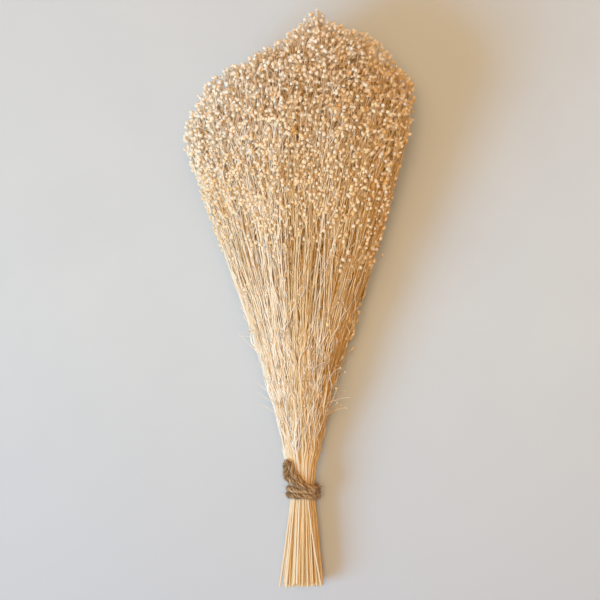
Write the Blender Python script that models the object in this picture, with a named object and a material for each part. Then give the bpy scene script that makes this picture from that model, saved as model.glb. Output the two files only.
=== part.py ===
"""A bundle of dried broom grass tied with jute twine, lying on a flat surface.

Every cut stalk runs from the level cut ends at -Y, through the tie, and fans out to a head of
small round seed pods at +Y. Metres, +Z up, with the origin on the surface under the middle.
"""

import math
import random

import bmesh
import bpy
import numpy as np
from mathutils import Vector

# Driving dimensions of the bundle, in metres. "Along" is the distance from the cut ends.
BUNDLE_LENGTH = 0.450
CUT_END_Y = -BUNDLE_LENGTH / 2
TIE_ALONG = 0.075
# Each section is (along, half width, half height, offset to the right). Stalks bend only there.
SECTIONS = (
    (0.000, 0.0162, 0.0124, 0.0020),
    (0.060, 0.0109, 0.0098, 0.0022),
    (TIE_ALONG, 0.0085, 0.0079, 0.0023),
    (0.090, 0.0104, 0.0094, 0.0017),
    (0.115, 0.0157, 0.0136, 0.0005),
    (0.160, 0.0275, 0.0216, 0.0000),
    (BUNDLE_LENGTH, 0.1210, 0.0702, -0.0030),
)
# The axis rises from the cut ends, because the wide head lifts it off the surface.
CUT_END_HEIGHT = 0.0105
AXIS_RISE = 0.108

# The cross-section is a disc of cells, and each cell holds one tuft: a branched stalk.
RING_COUNTS = (3, 9, 15, 21)
RING_RADII = (0.16, 0.40, 0.64, 0.88)
RING_SHIFT = 0.37
CELL_RADIUS = 0.12
STALKS_PER_TUFT = 3
STALK_SPREADS = ((0.000, 0.030), (TIE_ALONG, 0.0), (0.160, 0.066), (BUNDLE_LENGTH, 0.080))
STALK_RADII = ((0.000, 0.00094), (TIE_ALONG, 0.00077), (BUNDLE_LENGTH, 0.00056))
STALK_SIDES = 3
STALK_SWAY = 0.010
CUT_UNEVENNESS = 0.004
# A fork or side stalk starts inside the stalk it grows from, thinner by this share.
ROOT_SHARE = 0.7
FORK_STARTS = (0.106, 0.136)
FORK_START_RANGE = 0.020
FORK_RUN = 0.024

# The head is a dome: stalks near the middle and to the right reach furthest.
DOME_PEAK = 0.4590
DOME_DROP = 0.090
DOME_POWER = 1.4
DOME_LEAN = 0.012
TIP_DROPS = (0.000, 0.019, 0.040)
TIP_UNEVENNESS = 0.007

# Seed pods: one ends each stalk, and the rest stand on thin side stalks below it.
POD_RADIUS = 0.0021
POD_SIDES = 5
POD_CLEARANCE = 0.0003
SIDE_PODS = (2, 3, 3)
SIDE_POD_GAP = 0.021
SIDE_POD_GAP_RANGE = 0.3
SIDE_POD_TURNS = (math.radians(50), math.radians(-50), math.radians(-66))
SIDE_POD_ROOM = (0.75, 1.0)
SIDE_STALK_RADIUS = 0.00042
SIDE_STALK_RUN = 1.6
SIDE_STALK_LEAST_RUN = 0.007

# Pods and stalks that reach the surface are pressed flat on it by this share of their radius.
PRESSED_SHARE = 0.14
SURFACE_SLAB = 0.60

# Jute twine, wound three times round the stalks with one end tucked up as a loop.
TWINE_RADIUS = 0.00215
TWINE_CLEARANCE = 0.0003
TWINE_POINT_SPACING = 0.0052
# The tucked loop as (degrees round the stalks, distance along, lift off them).
# 0 degrees is the right-hand side, 90 the top and 180 the left.
TWINE_LOOP = (
    (101, 0.0851, 0.0000),
    (112, 0.0871, 0.0000),
    (124, 0.0903, 0.0000),
    (133, 0.0942, 0.0000),
    (142, 0.0976, 0.0002),
    (150, 0.0992, 0.0003),
    (158, 0.0978, 0.0002),
    (166, 0.0940, 0.0000),
    (173, 0.0893, 0.0002),
    (177, 0.0852, 0.0008),
    (171, 0.0823, 0.0007),
    (156, 0.0812, 0.0003),
    (134, 0.0806, 0.0000),
    (112, 0.0801, 0.0000),
)
TWINE_FIRST_ALONG = 0.0796
TWINE_PITCH = 0.0046
TWINE_STEP = 15
TWINE_END = -780

DRY_STALK = (0.79, 0.58, 0.33, 1.0)
JUTE = (0.36, 0.23, 0.12, 1.0)
SHARP_ANGLE = math.radians(80)
CURVE_STEPS = 12
RANDOM_SEED = 19


def clear_scene():
    for item in list(bpy.data.objects):
        bpy.data.objects.remove(item, do_unlink=True)


def plain_material(name, colour, roughness):
    """A matt, non-metallic finish in one linear colour."""
    made = bpy.data.materials.new(name)
    made.use_nodes = True
    shader = made.node_tree.nodes["Principled BSDF"]
    shader.inputs["Base Color"].default_value = colour
    shader.inputs["Roughness"].default_value = roughness
    shader.inputs["Metallic"].default_value = 0.0
    return made


def between(rows, along, column=1):
    """A column's value at this distance along, on straight lines between the rows."""
    for low, high in zip(rows, rows[1:]):
        if along <= high[0]:
            break
    share = (along - low[0]) / (high[0] - low[0])
    return low[column] + share * (high[column] - low[column])


def half_width(along):
    return between(SECTIONS, along, 1)


def half_height(along):
    return between(SECTIONS, along, 2)


def axis_point(along):
    """The middle of the bundle's cross-section this far along."""
    height = CUT_END_HEIGHT + AXIS_RISE * along
    return Vector((between(SECTIONS, along, 3), CUT_END_Y + along, height))


def in_bundle(across, up, along):
    """The point of the bundle at this place in its unit cross-section, this far along."""
    return axis_point(along) + Vector((across * half_width(along), 0, up * half_height(along)))


def settled(point, radius):
    """The point lifted until a round of this radius is only pressed on the surface."""
    lowest = radius * (1 - PRESSED_SHARE)
    return Vector((point.x, point.y, max(point.z, lowest)))


def ring_of(mesh, centre, radius, sides, turn):
    """A ring of vertices across the bundle's length, so that the sides between two are flat."""
    angles = (turn + 2 * math.pi * i / sides for i in range(sides))
    return [
        mesh.verts.new(centre + radius * Vector((math.cos(a), 0, math.sin(a))))
        for a in angles
    ]


def flare(mesh, low, high):
    """Triangles from a ring out to one with more sides."""
    i = 0
    for j, corner in enumerate(high):
        mesh.faces.new((low[i], high[(j + 1) % len(high)], corner))
        if (j + 1) * len(low) >= (i + 1) * len(high) - len(high) / 2:
            following = (i + 1) % len(low)
            mesh.faces.new((low[i], low[following], high[(j + 1) % len(high)]))
            i = following


def strand(name, points, radii, turn):
    """A thin stalk through the points, which ends in a pod."""
    mesh = bmesh.new()
    rings = [ring_of(mesh, *place, STALK_SIDES, turn) for place in zip(points, radii)]
    mesh.faces.new(rings[0])
    for low, high in zip(rings, rings[1:]):
        for i in range(STALK_SIDES):
            j = (i + 1) % STALK_SIDES
            mesh.faces.new((low[i], low[j], high[j], high[i]))
    onward = POD_RADIUS * (points[-1] - points[-2]).normalized()
    belt = ring_of(mesh, points[-1] + onward, POD_RADIUS, POD_SIDES, turn)
    flare(mesh, rings[-1], belt)
    crown = mesh.verts.new(points[-1] + 2 * onward)
    for i, corner in enumerate(belt):
        mesh.faces.new((corner, belt[(i + 1) % POD_SIDES], crown))
    bmesh.ops.recalc_face_normals(mesh, faces=mesh.faces)
    data = bpy.data.meshes.new(name)
    mesh.to_mesh(data)
    mesh.free()
    return bpy.data.objects.new(name, data)


def dome_end(across, up):
    """How far along the tallest stalk at this place in the cross-section ends."""
    out = math.hypot(across, up)
    return DOME_PEAK - DOME_DROP * out**DOME_POWER + DOME_LEAN * across


class Tuft:
    """A stalk that forks twice above the tie, with the pods that it carries."""

    def __init__(self, number, ring, place, draw):
        turn = 2 * math.pi * (place + RING_SHIFT * ring) / RING_COUNTS[ring]
        self.number = number
        self.across = RING_RADII[ring] * math.cos(turn)
        self.up = RING_RADII[ring] * math.sin(turn)
        self.draw = draw
        self.top = dome_end(self.across, self.up)
        self.first_turn = draw.uniform(0, 2 * math.pi)
        self.lines = [self.main_line()]
        for k in range(1, STALKS_PER_TUFT):
            self.lines.append(self.fork_line(k))

    def stalk_turn(self, k):
        return self.first_turn + 2 * math.pi * k / STALKS_PER_TUFT

    def in_cell(self, turn, spread, along, radius):
        """The point of this tuft's cell in this direction from its middle, on or over the surface."""
        across = self.across + spread * math.cos(turn)
        up = self.up + spread * math.sin(turn)
        return settled(in_bundle(across, up, along), radius)

    def stalk_point(self, k, along):
        """A bend of stalk k, which strays a little from its line above the tie."""
        spread = between(STALK_SPREADS, along)
        if along > TIE_ALONG:
            spread += self.draw.uniform(-STALK_SWAY, STALK_SWAY) * min(1, spread / STALK_SWAY)
        return self.in_cell(self.stalk_turn(k), spread, along, between(STALK_RADII, along))

    def stalk_tip(self, k):
        """How far along the foot of stalk k's last pod is."""
        return self.top - TIP_DROPS[k] - self.draw.uniform(0, TIP_UNEVENNESS) - 2 * POD_RADIUS

    def main_line(self):
        """The points of the stalk from its cut end, through the tie, to its last pod."""
        cut_end = self.draw.uniform(0, CUT_UNEVENNESS)
        bends = [section[0] for section in SECTIONS[1:-1]]
        return [self.stalk_point(0, along) for along in (cut_end, *bends, self.stalk_tip(0))]

    def fork_line(self, k):
        """The points of fork k, from inside the stalk to its last pod."""
        start = FORK_STARTS[k - 1] + self.draw.uniform(0, FORK_START_RANGE)
        clear = self.stalk_point(k, start + FORK_RUN)
        return [self.on_stalk(0, start), clear, self.stalk_point(k, self.stalk_tip(k))]

    def on_stalk(self, k, along):
        """The point of stalk k's axis this far along."""
        y = CUT_END_Y + along
        for low, high in zip(self.lines[k], self.lines[k][1:]):
            if y <= high.y:
                break
        return low.lerp(high, min(1, (y - low.y) / (high.y - low.y)))

    def stalks(self):
        for k, points in enumerate(self.lines):
            radii = [between(STALK_RADII, point.y - CUT_END_Y) for point in points]
            if k > 0:
                radii[0] *= ROOT_SHARE
            yield strand("stalk", points, radii, self.first_turn)

    def side_pod(self, k, along, turn):
        """A pod near the cell's edge, on a thin side stalk that leaves stalk k below it."""
        room = CELL_RADIUS * self.draw.uniform(*SIDE_POD_ROOM)
        reach = POD_RADIUS + POD_CLEARANCE
        outward = Vector(
            (
                (room * half_width(along) - reach) * math.cos(turn),
                0,
                (room * half_height(along) - reach) * math.sin(turn),
            )
        )
        centre = settled(in_bundle(self.across, self.up, along) + outward, POD_RADIUS)
        run = SIDE_STALK_RUN * (centre - self.on_stalk(k, along)).length
        root = self.on_stalk(k, along - SIDE_STALK_LEAST_RUN - run)
        foot = centre - POD_RADIUS * (centre - root).normalized()
        radii = [SIDE_STALK_RADIUS * ROOT_SHARE, SIDE_STALK_RADIUS]
        return strand("side_stalk", [root, foot], radii, self.first_turn)

    def side_pods(self):
        for k, count in enumerate(SIDE_PODS):
            tip = self.lines[k][-1].y - CUT_END_Y
            for i in range(count):
                stray = self.draw.uniform(-SIDE_POD_GAP_RANGE, SIDE_POD_GAP_RANGE)
                drop = SIDE_POD_GAP * (i + 1 + stray)
                yield self.side_pod(k, tip - drop, self.stalk_turn(k) + SIDE_POD_TURNS[i])

    def build(self, material, surface):
        """One solid: the stalk joined with its forks and pods, and pressed flat on the surface."""
        tuft, *others = [*self.stalks(), *self.side_pods()]
        tuft.name = f"grass_tuft_{self.number:02d}"
        bpy.context.scene.collection.objects.link(tuft)
        join(tuft, others)
        if min(corner.co.z for corner in tuft.data.vertices) < 0:
            press(tuft, surface)
        tuft.data.materials.clear()
        tuft.data.materials.append(material)
        tuft.data.shade_smooth()
        tuft.data.set_sharp_from_angle(angle=SHARP_ANGLE)


def join(item, others):
    """The others become part of the item, by one Boolean union."""
    collection = bpy.data.collections.new("joined")
    bpy.context.scene.collection.children.link(collection)
    for other in others:
        collection.objects.link(other)
    union = item.modifiers.new("joined", "BOOLEAN")
    union.operation = "UNION"
    union.operand_type = "COLLECTION"
    union.collection = collection
    union.solver = "EXACT"
    apply_modifiers(item)
    for other in others:
        bpy.data.objects.remove(other, do_unlink=True)
    bpy.data.collections.remove(collection)


def press(item, surface):
    """The item loses what dips under the surface."""
    cut = item.modifiers.new("pressed", "BOOLEAN")
    cut.operation = "DIFFERENCE"
    cut.object = surface
    cut.solver = "EXACT"
    apply_modifiers(item)


def apply_modifiers(item):
    """The object's evaluated mesh becomes its own mesh."""
    graph = bpy.context.evaluated_depsgraph_get()
    made = bpy.data.meshes.new_from_object(item.evaluated_get(graph))
    item.modifiers.clear()
    item.data = made


def surface_cutter():
    """A hidden slab under the surface, which flattens what is pressed on it."""
    bpy.ops.mesh.primitive_cube_add(size=SURFACE_SLAB, location=(0, 0, -SURFACE_SLAB / 2))
    slab = bpy.context.object
    slab.name = "surface_under_the_bundle"
    slab.hide_render = True
    slab.display_type = "WIRE"
    return slab


def wound_route():
    """The turns after the loop: level across the top, and a pitch lower after each underside."""
    route = []
    for degrees in range(TWINE_LOOP[-1][0] - TWINE_STEP, TWINE_END - 1, -TWINE_STEP):
        whole, part_turn = divmod(-degrees / 360, 1)
        sunk = min(1.0, 2 * part_turn)
        along = TWINE_FIRST_ALONG - TWINE_PITCH * (whole + sunk * sunk * (3 - 2 * sunk))
        route.append((degrees, along, 0.0))
    return route


def round_the_stalks(degrees, along, lift):
    """The twine's centre at this place on the route."""
    turn = math.radians(degrees)
    off = TWINE_RADIUS + TWINE_CLEARANCE + lift
    across = (half_width(along) + off) * math.cos(turn)
    up = (half_height(along) + off) * math.sin(turn)
    return axis_point(along) + Vector((across, 0, up))


def smooth_line(points, spacing):
    """Evenly spaced points on a smooth curve through the points."""
    fine = []
    padded = [2 * points[0] - points[1], *points, 2 * points[-1] - points[-2]]
    for a, b, c, d in zip(padded, padded[1:], padded[2:], padded[3:]):
        for t in np.linspace(0, 1, CURVE_STEPS, endpoint=False):
            straight = b + (c - a) * t / 2
            bend = (2 * a - 5 * b + 4 * c - d) * t**2 / 2 + (3 * b - 3 * c + d - a) * t**3 / 2
            fine.append(straight + bend)
    fine = np.array([*fine, points[-1]])
    done = np.append(0, np.cumsum(np.linalg.norm(np.diff(fine, axis=0), axis=1)))
    wanted = np.linspace(0, done[-1], round(done[-1] / spacing) + 1)
    return np.column_stack([np.interp(wanted, done, column) for column in fine.T])


def twine_tie(material):
    """The twine as one round tube along its whole route."""
    route = [round_the_stalks(*place) for place in (*TWINE_LOOP, *wound_route())]
    line = smooth_line(route, TWINE_POINT_SPACING)
    curve = bpy.data.curves.new("twine_tie", "CURVE")
    curve.dimensions = "3D"
    curve.bevel_depth = TWINE_RADIUS
    curve.bevel_resolution = 1
    curve.use_fill_caps = True
    spline = curve.splines.new("POLY")
    spline.points.add(len(line) - 1)
    for target, point in zip(spline.points, line):
        target.co = (*point, 1.0)
    tie = bpy.data.objects.new("twine_tie", curve)
    tie.data.materials.append(material)
    bpy.context.scene.collection.objects.link(tie)


def build_bundle():
    clear_scene()
    draw = random.Random(RANDOM_SEED)
    dry_stalk = plain_material("dry_stalk", DRY_STALK, 0.75)
    jute = plain_material("jute_twine", JUTE, 0.9)
    surface = surface_cutter()
    number = 0
    for ring, count in enumerate(RING_COUNTS):
        for place in range(count):
            number += 1
            Tuft(number, ring, place, draw).build(dry_stalk, surface)
    twine_tie(jute)


build_bundle()
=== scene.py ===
"""A bundle of dried broom grass tied with jute twine, lying on a pale table and seen from above.

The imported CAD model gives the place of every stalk. Each of its 48 tufts is dressed here as three
whole stalks with thin branches and seed pods, and its plain twine as three plies with loose
fibres. Metres, +Z up, in the CAD's own frame: cut ends at -Y, head at +Y.
"""

import math
import random
from functools import partial

import bmesh
import bpy
import numpy as np
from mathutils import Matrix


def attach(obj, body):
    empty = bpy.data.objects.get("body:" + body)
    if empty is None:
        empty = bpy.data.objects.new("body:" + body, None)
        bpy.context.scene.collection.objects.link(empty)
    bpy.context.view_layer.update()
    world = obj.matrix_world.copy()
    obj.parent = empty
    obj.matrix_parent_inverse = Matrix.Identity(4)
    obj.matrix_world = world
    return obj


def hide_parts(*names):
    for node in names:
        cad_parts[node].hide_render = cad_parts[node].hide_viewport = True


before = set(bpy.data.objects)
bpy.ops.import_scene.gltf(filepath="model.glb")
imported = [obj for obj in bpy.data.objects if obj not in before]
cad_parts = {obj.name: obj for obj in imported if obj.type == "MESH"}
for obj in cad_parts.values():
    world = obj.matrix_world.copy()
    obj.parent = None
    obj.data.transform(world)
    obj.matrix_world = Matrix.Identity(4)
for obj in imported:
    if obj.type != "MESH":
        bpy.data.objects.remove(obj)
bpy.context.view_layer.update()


# Where the stalks run
#
# The bundle is gathered by hand, tied 75 mm from the level cut ends, and fans out above the tie.
# Its cross-section is a disc of 48 cells, one for each tuft of the CAD model. The numbers and the
# order of chance are the CAD's own, but 90 mm up and more the bundle stands a little further right,
# by 2.5 mm at the head's tip, as in the photo.
BUNDLE_LENGTH = 0.450
CUT_END_Y = -BUNDLE_LENGTH / 2
TIE_ALONG = 0.075
# Each section is (along, half width, half height, offset to the right).
SECTIONS = (
    (0.000, 0.0162, 0.0124, 0.0020),
    (0.060, 0.0109, 0.0098, 0.0022),
    (TIE_ALONG, 0.0085, 0.0079, 0.0023),
    (0.090, 0.0104, 0.0094, 0.0017),
    (0.115, 0.0157, 0.0136, 0.0017),
    (0.160, 0.0275, 0.0216, 0.0006),
    (BUNDLE_LENGTH, 0.1210, 0.0702, -0.0005),
)
CUT_END_HEIGHT = 0.0105
AXIS_RISE = 0.108
RING_COUNTS = (3, 9, 15, 21)
RING_RADII = (0.16, 0.40, 0.64, 0.88)
RING_SHIFT = 0.37
CAD_SPREADS = ((0.000, 0.030), (TIE_ALONG, 0.0), (0.160, 0.066), (BUNDLE_LENGTH, 0.080))
CAD_SWAY = 0.010
CAD_CUT_UNEVENNESS = 0.004
CAD_FIRST_BENDS = (0.090, 0.115, 0.160)
CAD_FORK_STARTS = (0.106, 0.136)
CAD_FORK_START_RANGE = 0.020
CAD_FORK_RUN = 0.024
DOME_PEAK = 0.4590
DOME_DROP = 0.090
DOME_POWER = 1.4
DOME_LEAN = 0.012
CAD_TIP_DROPS = (0.000, 0.019, 0.040)
CAD_TIP_UNEVENNESS = 0.007
CAD_POD_RADIUS = 0.0021
CAD_SIDE_PODS = (2, 3, 3)
CAD_SEED = 19
STALKS_PER_TUFT = 3


def between(rows, along, column=1):
    """A column's value at this distance along, on straight lines between the rows."""
    for low, high in zip(rows, rows[1:]):
        if along <= high[0]:
            break
    share = (along - low[0]) / (high[0] - low[0])
    return low[column] + share * (high[column] - low[column])


def in_bundle(across, up, along):
    """The point of the bundle at this place in its unit cross-section, this far along."""
    x = between(SECTIONS, along, 3) + across * between(SECTIONS, along, 1)
    z = CUT_END_HEIGHT + AXIS_RISE * along + up * between(SECTIONS, along, 2)
    return np.array((x, CUT_END_Y + along, z))


def dome_end(across, up):
    """How far along the head reaches at this place in the cross-section."""
    out = math.hypot(across, up)
    return DOME_PEAK - DOME_DROP * out**DOME_POWER + DOME_LEAN * across


class Tuft:
    """The cell of one CAD tuft, and where its three stalks bend and end."""

    def __init__(self, ring, place, draw):
        turn = 2 * math.pi * (place + RING_SHIFT * ring) / RING_COUNTS[ring]
        self.ring = ring
        self.across = RING_RADII[ring] * math.cos(turn)
        self.up = RING_RADII[ring] * math.sin(turn)
        self.first_turn = draw.uniform(0, 2 * math.pi)
        self.cut_end = draw.uniform(0, CAD_CUT_UNEVENNESS)
        self.tips = [self.tip(0, draw)]
        spreads = [self.sway(bend, draw) for bend in CAD_FIRST_BENDS]
        self.bends = [(CAD_FIRST_BENDS[-1], spreads[-1], self.sway(self.tips[0], draw))]
        for k in range(1, STALKS_PER_TUFT):
            start = CAD_FORK_STARTS[k - 1] + draw.uniform(0, CAD_FORK_START_RANGE)
            clear = start + CAD_FORK_RUN
            spread_at_clear = self.sway(clear, draw)
            self.tips.append(self.tip(k, draw))
            self.bends.append((clear, spread_at_clear, self.sway(self.tips[k], draw)))
        # The CAD draws twice for each side pod.
        for _ in range(2 * sum(CAD_SIDE_PODS)):
            draw.random()

    def tip(self, k, draw):
        """How far along stalk k ends."""
        top = dome_end(self.across, self.up)
        return top - CAD_TIP_DROPS[k] - draw.uniform(0, CAD_TIP_UNEVENNESS) - 2 * CAD_POD_RADIUS

    def sway(self, along, draw):
        """How far a stalk stands from the cell's middle, with its stray."""
        spread = between(CAD_SPREADS, along)
        return spread + draw.uniform(-CAD_SWAY, CAD_SWAY) * min(1, spread / CAD_SWAY)


cad_draw = random.Random(CAD_SEED)
tufts = [
    Tuft(ring, place, cad_draw)
    for ring, count in enumerate(RING_COUNTS)
    for place in range(count)
]


# The shape of the head
#
# The pods crowd together in one dome, which bulges a little over its stalks. Seen from above it has
# the photo's own outline, and underneath it is pressed on the table.

# How far the head reaches on the photo's own outline, seen from above, as (x, along).
HEAD_OUTLINE = (
    (-0.0930, 0.340),
    (-0.0905, 0.354),
    (-0.0885, 0.363),
    (-0.0830, 0.380),
    (-0.0760, 0.3900),
    (-0.0695, 0.400),
    (-0.0530, 0.408),
    (-0.0370, 0.4145),
    (-0.0250, 0.422),
    (-0.0100, 0.431),
    (0.0020, 0.4435),
    (0.013, 0.4525),
    (0.022, 0.4445),
    (0.036, 0.4375),
    (0.054, 0.4365),
    (0.070, 0.4305),
    (0.081, 0.4205),
    (0.086, 0.4085),
    (0.0893, 0.3965),
    (0.0920, 0.340),
)
# The outline is looked up again as x shifts with the distance along.
OUTLINE_ROUNDS = 3
FURTHEST_ALONG = BUNDLE_LENGTH + 0.005
# How far out the pods stand, as a share of the bundle's section: the head bulges over its stalks.
HEAD_EDGE = ((0.000, 0.96), (0.210, 0.96), (0.270, 1.00), (0.340, 1.02), (0.380, 0.99), (0.460, 0.96))
# A pod's radius, its height in radii, and how far its middle keeps off the table, in radii.
POD_RADII = (0.00104, 0.00180)
POD_HEIGHT = 2.60
POD_CLEARANCE = 1.2


def head_end(across, up, pod_radius):
    """How far along a pod may stand here: under the dome, and inside the outline from above."""
    along = dome_end(across, up)
    for _ in range(OUTLINE_ROUNDS):
        along = min(along, between(HEAD_OUTLINE, in_bundle(across, up, along)[0]))
    return along - POD_HEIGHT * pod_radius


def inside_edge(across, up, along, slack=1.0):
    """The place in the cross-section, brought in to the head's edge where it lies outside."""
    share = slack * between(HEAD_EDGE, along) / max(math.hypot(across, up), 1e-9)
    return (across, up) if share >= 1 else (across * share, up * share)


def kept_in_head(point, pod_radius, slack=1.0):
    """The end of a branchlet, moved inside the head's outline and onto the surface."""
    along = min(point[1] - CUT_END_Y, FURTHEST_ALONG)
    middle = in_bundle(0, 0, along)
    across = (point[0] - middle[0]) / between(SECTIONS, along, 1)
    up = (point[2] - middle[2]) / between(SECTIONS, along, 2)
    across, up = inside_edge(across, up, along, slack)
    kept = in_bundle(across, up, min(along, head_end(across, up, pod_radius)))
    kept[2] = max(kept[2], POD_CLEARANCE * pod_radius)
    return kept


# How a strand is drawn
#
# Every stem, branch and fibre is a chain of points that carries its girth, tone and pod. It bends in
# one sweep, as grass does, with a kink at each joint. A node tree further down makes it solid.

# Kinks go this far to either side, from this distance along.
KINK = 0.0011
KINKS_FROM = 0.100
# A curve's handles, as shares of its reach.
LEAVE_HANDLE = 0.38
ARRIVE_HANDLE = 0.30


def unit(vector):
    """The vector's direction."""
    return vector / max(np.linalg.norm(vector), 1e-9)


def square_to(onward, way):
    """The direction nearest to way that is square to onward."""
    return unit(way - onward * (way @ onward))


def random_way(chance):
    """A chance direction."""
    return unit(np.array([chance.gauss(0, 1) for _ in range(3)]))


def point_past(stalk, along):
    """The number of the stalk's first point past this distance along."""
    return max(1, min(int(np.searchsorted(stalk[:, 1], CUT_END_Y + along)), len(stalk) - 1))


def kinked(line, chance):
    """The line with a small kink at each joint above the tie, as grass has."""
    for point in line[1:-1]:
        if point[1] - CUT_END_Y > KINKS_FROM:
            point[0] += chance.uniform(-KINK, KINK)
            point[2] = max(point[2] + chance.uniform(-KINK, KINK), KINK)
    return line


def curved(start, leave, end, arrive, count):
    """Points on a smooth curve that leaves and arrives in these directions."""
    reach = np.linalg.norm(end - start)
    second = start + LEAVE_HANDLE * reach * unit(leave)
    third = end - ARRIVE_HANDLE * reach * unit(arrive)
    t = np.linspace(0, 1, count)[:, None]
    return (
        (1 - t) ** 3 * start + 3 * (1 - t) ** 2 * t * second + 3 * (1 - t) * t**2 * third + t**3 * end
    )


def store(mesh, name, values):
    """Stores a number or a vector for each point of the mesh, under this name."""
    flat = np.array(values, np.float32)
    kind, field = ("FLOAT", "value") if flat.ndim == 1 else ("FLOAT_VECTOR", "vector")
    mesh.attributes.new(name, kind, "POINT").data.foreach_set(field, flat.ravel())


class Growth:
    """All strands of one tuft: points in chains, and what is known of each point."""

    def __init__(self):
        self.points = []
        self.links = []
        self.known = {"girth": [], "tone": [], "thick": [], "pod": [], "heading": []}

    def add(self, line, girths, tone, thick=False, pod=0.0):
        """Adds a strand, with a pod of this radius at its end if it isn't 0."""
        first = len(self.points)
        count = len(line)
        self.points.extend(line)
        self.links.extend((first + i, first + i + 1) for i in range(count - 1))
        girth = np.interp(np.linspace(0, 1, count), np.linspace(0, 1, len(girths)), girths)
        self.known["girth"].extend(girth)
        self.known["tone"].extend(np.broadcast_to(tone, count))
        self.known["thick"].extend([float(thick)] * count)
        self.known["pod"].extend([0.0] * (count - 1) + [pod])
        self.known["heading"].extend([unit(line[-1] - line[-2])] * count)

    def mesh(self, name):
        """Bare edges that carry what is known of each point, for the node tree."""
        made = bpy.data.meshes.new(name)
        made.from_pydata([tuple(p) for p in self.points], self.links, [])
        for label, values in self.known.items():
            store(made, label, values)
        return made


# The stalks
#
# Broom grass grows as a wiry stem, about 1.6 mm thick at the cut and a quarter of that at the top.
# Each is cut level, held by the tie 75 mm further on, and runs in slow waves from there to the dome.

# Each row is (along, radius). A stalk's own size is a share of it.
STALK_GIRTHS = (
    (0.000, 0.00082),
    (TIE_ALONG, 0.00062),
    (0.098, 0.00080),
    (0.160, 0.00068),
    (0.240, 0.00052),
    (0.340, 0.00032),
    (0.460, 0.00020),
)
STALK_SIZES = (0.74, 1.22)
STALK_STEP = 0.009
# Below the tie the stalks spread again and stray to the side, and each is cut a little off level.
CUT_SPREAD = 0.080
CUT_SPREAD_RANGE = (0.7, 1.25)
CUT_REACH = 0.0025
CUT_STRAY = 0.095
CUT_STRAY_UP = 0.5 * CUT_STRAY
TIE_SPREAD = 0.066
# Between the last fork and the tip: (share of the way, spread).
UPPER_BENDS = ((0.35, 0.073), (0.70, 0.077))
# Above the tie they stray this far, in shares of the section, and a little past the head's edge.
STALK_STRAY = 0.11
STALK_SLACK = 1.02
# In the head the stalks run a little inside their cells, under the pods of their branches.
INWARD = ((0.000, 1.0), (0.200, 1.0), (0.290, 0.86), (0.400, 0.82), (0.460, 0.90))
# One pale stalk lies on top of the others and slants to the right: (tuft, stalk, reach to the right).
CROSSING_STALK = (31, 1, 0.54)
CROSSING_TONE = 1.0
# Slow waves, as (along, height), and the range of their lengths.
WAVE_HEIGHTS = ((0.000, 0.0), (TIE_ALONG, 0.0), (0.120, 0.0012), (0.200, 0.0026), (0.460, 0.0022))
WAVE_LENGTHS = (0.034, 0.110)
WAVE_FLATNESS = 0.7
# The waves die down over this last stretch.
WAVE_FADE = 0.05


def stalk_course(number, tuft, k, chance):
    """The smooth line of stalk k, from its cut end through the tie to its tip."""
    turn = tuft.first_turn + 2 * math.pi * k / STALKS_PER_TUFT
    bend, bend_spread, tip_spread = tuft.bends[k]
    tip = min(tuft.tips[k], head_end(tuft.across, tuft.up, POD_RADII[1]))
    cut_end = (tuft.cut_end if k == 0 else chance.uniform(0, CAD_CUT_UNEVENNESS)) - CUT_REACH
    stray = [chance.uniform(-STALK_STRAY, STALK_STRAY) for _ in range(4)]
    aside = chance.gauss(0, CUT_STRAY)
    if (number, k) == CROSSING_STALK[:2]:
        aside = CROSSING_STALK[2]
    cut_spread = CUT_SPREAD * chance.uniform(*CUT_SPREAD_RANGE)
    upper_bends = [
        (bend + share * (tip - bend), spread, stray[2 * i], stray[2 * i + 1])
        for i, (share, spread) in enumerate(UPPER_BENDS)
    ]
    # Each row is (along, spread from the cell's middle, shift across, shift up).
    knots = (
        (0.000, cut_spread, aside, chance.gauss(0, CUT_STRAY_UP)),
        (TIE_ALONG, TIE_SPREAD, 0.0, 0.0),
        (bend, bend_spread, 0.0, 0.0),
        *upper_bends,
        (tip, tip_spread, 0.0, 0.0),
    )
    waves = [
        (chance.uniform(*WAVE_LENGTHS), chance.uniform(0, 2 * math.pi), chance.uniform(0, 2 * math.pi))
        for _ in range(2)
    ]
    line = []
    steps = round((tip - cut_end) / STALK_STEP)
    for along in np.linspace(cut_end, tip, steps + 1):
        spread = between(knots, along)
        across = tuft.across + spread * math.cos(turn) + between(knots, along, 2)
        up = tuft.up + spread * math.sin(turn) + between(knots, along, 3)
        if along > TIE_ALONG:
            across, up = inside_edge(across, up, along, STALK_SLACK)
        inward = between(INWARD, along)
        point = in_bundle(inward * across, inward * up, along)
        height = between(WAVE_HEIGHTS, along) * min(1, (tip - along) / WAVE_FADE)
        for length, phase, side in waves:
            swing = height * math.sin(2 * math.pi * along / length + phase)
            point += swing * np.array((math.cos(side), 0, WAVE_FLATNESS * math.sin(side)))
        point[2] = max(point[2], between(STALK_GIRTHS, along))
        line.append(point)
    line = np.array(line)
    soft = line.copy()
    soft[1:-1] = (line[:-2] + 2 * line[1:-1] + line[2:]) / 4
    return kinked(soft, chance)


# Branches and twigs
#
# A stem's upper half branches twice, and each branch and twig ends in a seed pod. They are drawn 1 mm
# thick, so that they show. Deep in the bundle they are painted darker and more golden, as painted
# shade.

# The outer rings show down their whole length, so they bear most of the branches.
BRANCHES_BY_RING = (18, 19, 23, 32)
BRANCH_DEPTHS = (0.045, 0.060, 0.110, 0.190)
# Fewer grow on the side that is pressed on the table, and more on top.
TOP_SHARE = 1.08
TABLE_SHARE = 0.70
TABLE_SIDE = -0.4
# Successive branches leave to sides that are a golden angle apart, as leaves on a stem do.
GOLDEN_ANGLE = math.radians(137.5)
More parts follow.
